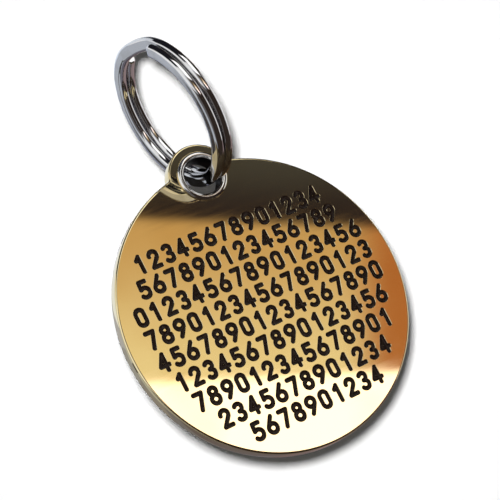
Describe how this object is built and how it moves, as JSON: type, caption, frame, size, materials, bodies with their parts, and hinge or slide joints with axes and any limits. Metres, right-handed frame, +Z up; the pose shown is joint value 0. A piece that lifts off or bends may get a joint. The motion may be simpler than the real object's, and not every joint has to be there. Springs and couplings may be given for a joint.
{
  "type": "pet id tag",
  "caption": "Polished brass disc tag with engraved, black-filled numerals, a rolled eyelet in its ear and a split ring that hangs it from a pet's collar.",
  "frame": {"origin": "centre of the split ring, which the part hangs by", "axes": "+Z up, the engraved face towards -Y and leaning back a little so that the tag hangs in balance under the ring, the ring's own axis close to X"},
  "size_m": [0.038, 0.02, 0.0548],
  "materials": {
    "nickel_ring": "bright nickel plate on spring steel wire",
    "nickel_eyelet": "bright nickel plate, rolled",
    "polished_brass": "mirror polished",
    "black_enamel": "wiped in and hardened, gloss"
  },
  "bodies": {
    "ring": {"split_ring": "nickel_ring"},
    "eyelet": {"hole_eyelet": "nickel_eyelet"},
    "tag": {"tag_blank": "polished_brass", "enamel_row_1": "black_enamel", "enamel_row_2": "black_enamel", "enamel_row_3": "black_enamel", "enamel_row_4": "black_enamel", "enamel_row_5": "black_enamel", "enamel_row_6": "black_enamel", "enamel_row_7": "black_enamel", "enamel_row_8": "black_enamel", "enamel_row_9": "black_enamel"}
  },
  "joints": [
    {"name": "ring_run", "type": "hinge", "parent": "ring", "child": "eyelet", "pos_m": [0, 0, 0], "axis": [0.9816, 0.0276, 0.1888], "continuous": true},
    {"name": "tag_swing", "type": "hinge", "parent": "eyelet", "child": "tag", "pos_m": [0.00101, 0.0025, -0.00862], "axis": [0, 0.9895, -0.1449], "range_deg": [-110, 92]}
  ]
}
